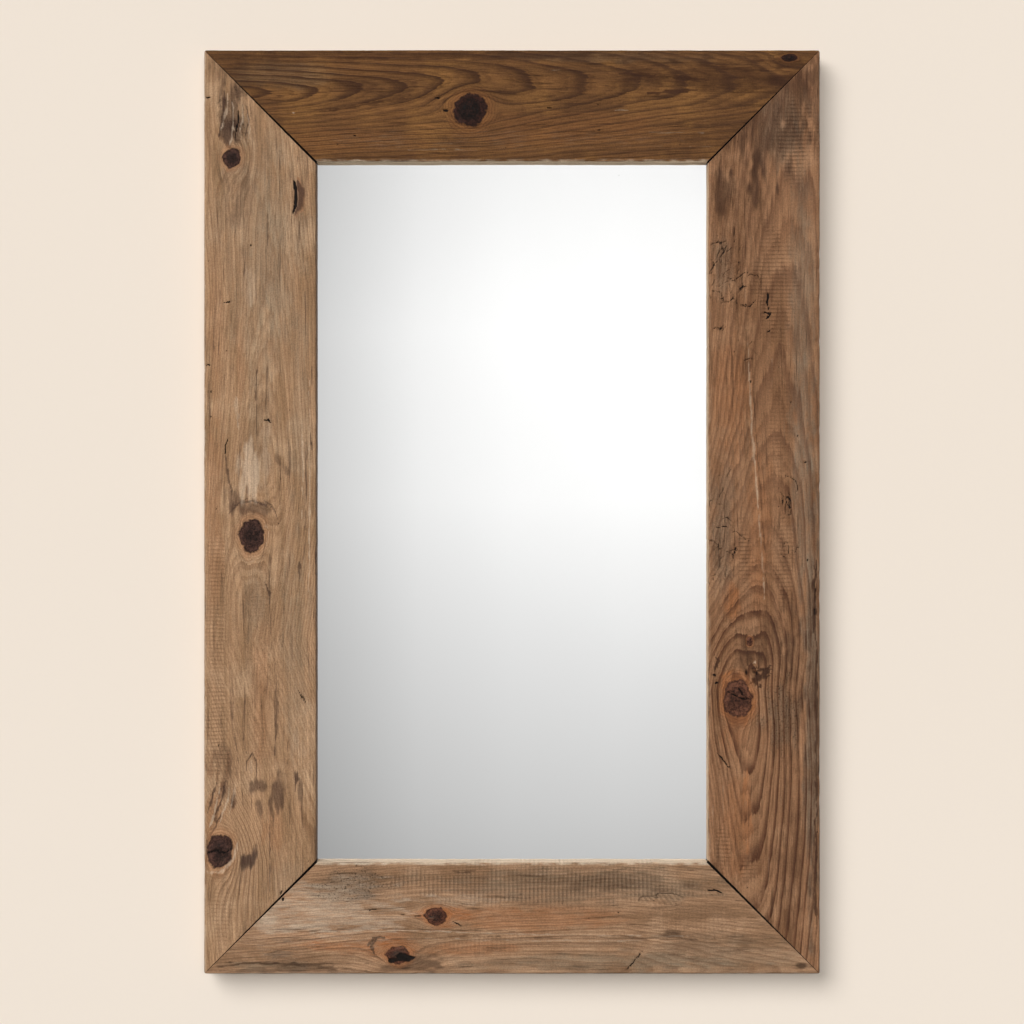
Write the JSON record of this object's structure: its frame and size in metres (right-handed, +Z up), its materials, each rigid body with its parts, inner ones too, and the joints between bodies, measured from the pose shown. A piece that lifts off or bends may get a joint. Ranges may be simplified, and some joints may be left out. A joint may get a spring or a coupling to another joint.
{
  "type": "wall mirror",
  "caption": "Rectangular wall mirror in a wide mitred frame of weathered reclaimed boards, with rebated glass, a backing board, turn buttons and ring hangers.",
  "frame": {"origin": "on the wall, midway between the two hooks that carry the hanger rings", "axes": "+X to the right of someone facing the glass, +Y into the wall, +Z up"},
  "size_m": [0.6096, 0.0373, 0.9144],
  "materials": {
    "old_pine": "weathered, sawn, dry oil",
    "silvered_glass": "polished",
    "card": "matt",
    "fibreboard": "smooth, unpainted",
    "beech": "pressed",
    "zinc_plate": "zinc plated",
    "brassed_steel": "brass plated",
    "rubber": "matt"
  },
  "bodies": {
    "frame": {"top_rail": "old_pine", "right_stile": "old_pine", "bottom_rail": "old_pine", "left_stile": "old_pine", "mirror_glass": "silvered_glass", "cushion_sheet": "card", "backing_board": "fibreboard", "setting_block_left": "rubber", "setting_block_right": "rubber", "biscuit_top_right": "beech", "biscuit_bottom_right": "beech", "biscuit_bottom_left": "beech", "biscuit_top_left": "beech", "corner_plate_top_right": "zinc_plate", "corner_plate_bottom_right": "zinc_plate", "corner_plate_bottom_left": "zinc_plate", "corner_plate_top_left": "zinc_plate", "corner_plate_screw_top_right_1": "zinc_plate", "corner_plate_screw_top_right_2": "zinc_plate", "corner_plate_screw_top_right_3": "zinc_plate", "corner_plate_screw_top_right_4": "zinc_plate", "corner_plate_screw_bottom_right_1": "zinc_plate", "corner_plate_screw_bottom_right_2": "zinc_plate", "corner_plate_screw_bottom_right_3": "zinc_plate", "corner_plate_screw_bottom_right_4": "zinc_plate", "corner_plate_screw_bottom_left_1": "zinc_plate", "corner_plate_screw_bottom_left_2": "zinc_plate", "corner_plate_screw_bottom_left_3": "zinc_plate", "corner_plate_screw_bottom_left_4": "zinc_plate", "corner_plate_screw_top_left_1": "zinc_plate", "corner_plate_screw_top_left_2": "zinc_plate", "corner_plate_screw_top_left_3": "zinc_plate", "corner_plate_screw_top_left_4": "zinc_plate", "turn_button_screw_top": "brassed_steel", "turn_button_screw_right_upper": "brassed_steel", "turn_button_screw_right_lower": "brassed_steel", "turn_button_screw_bottom": "brassed_steel", "turn_button_screw_left_lower": "brassed_steel", "turn_button_screw_left_upper": "brassed_steel", "hanger_strap_left": "zinc_plate", "hanger_strap_right": "zinc_plate", "hanger_screw_left_1": "zinc_plate", "hanger_screw_left_2": "zinc_plate", "hanger_screw_right_1": "zinc_plate", "hanger_screw_right_2": "zinc_plate", "wall_bumper_top_left": "rubber", "wall_bumper_top_right": "rubber", "wall_bumper_bottom_left": "rubber", "wall_bumper_bottom_right": "rubber"},
    "button_top": {"turn_button_top": "brassed_steel"},
    "button_right_upper": {"turn_button_right_upper": "brassed_steel"},
    "button_right_lower": {"turn_button_right_lower": "brassed_steel"},
    "button_bottom": {"turn_button_bottom": "brassed_steel"},
    "button_left_lower": {"turn_button_left_lower": "brassed_steel"},
    "button_left_upper": {"turn_button_left_upper": "brassed_steel"},
    "ring_left": {"hanger_ring_left": "zinc_plate"},
    "ring_right": {"hanger_ring_right": "zinc_plate"}
  },
  "joints": [
    {"name": "ring_left_swing", "type": "hinge", "parent": "frame", "child": "ring_left", "pos_m": [-0.27155, -0.004, -0.018], "axis": [-1, 0, 0], "range_deg": [-4, 180]},
    {"name": "ring_right_swing", "type": "hinge", "parent": "frame", "child": "ring_right", "pos_m": [0.27155, -0.004, -0.018], "axis": [-1, 0, 0], "range_deg": [-4, 180]},
    {"name": "button_top_turn", "type": "hinge", "parent": "frame", "child": "button_top", "pos_m": [0, -0.0064, 0.11], "axis": [0, 1, 0], "continuous": true},
    {"name": "button_right_upper_turn", "type": "hinge", "parent": "frame", "child": "button_right_upper", "pos_m": [0.2148, -0.0064, -0.0872], "axis": [0, 1, 0], "continuous": true},
    {"name": "button_right_lower_turn", "type": "hinge", "parent": "frame", "child": "button_right_lower", "pos_m": [0.2148, -0.0064, -0.4272], "axis": [0, 1, 0], "continuous": true},
    {"name": "button_bottom_turn", "type": "hinge", "parent": "frame", "child": "button_bottom", "pos_m": [0, -0.0064, -0.6244], "axis": [0, 1, 0], "continuous": true},
    {"name": "button_left_lower_turn", "type": "hinge", "parent": "frame", "child": "button_left_lower", "pos_m": [-0.2148, -0.0064, -0.4272], "axis": [0, 1, 0], "continuous": true},
    {"name": "button_left_upper_turn", "type": "hinge", "parent": "frame", "child": "button_left_upper", "pos_m": [-0.2148, -0.0064, -0.0872], "axis": [0, 1, 0], "continuous": true}
  ]
}
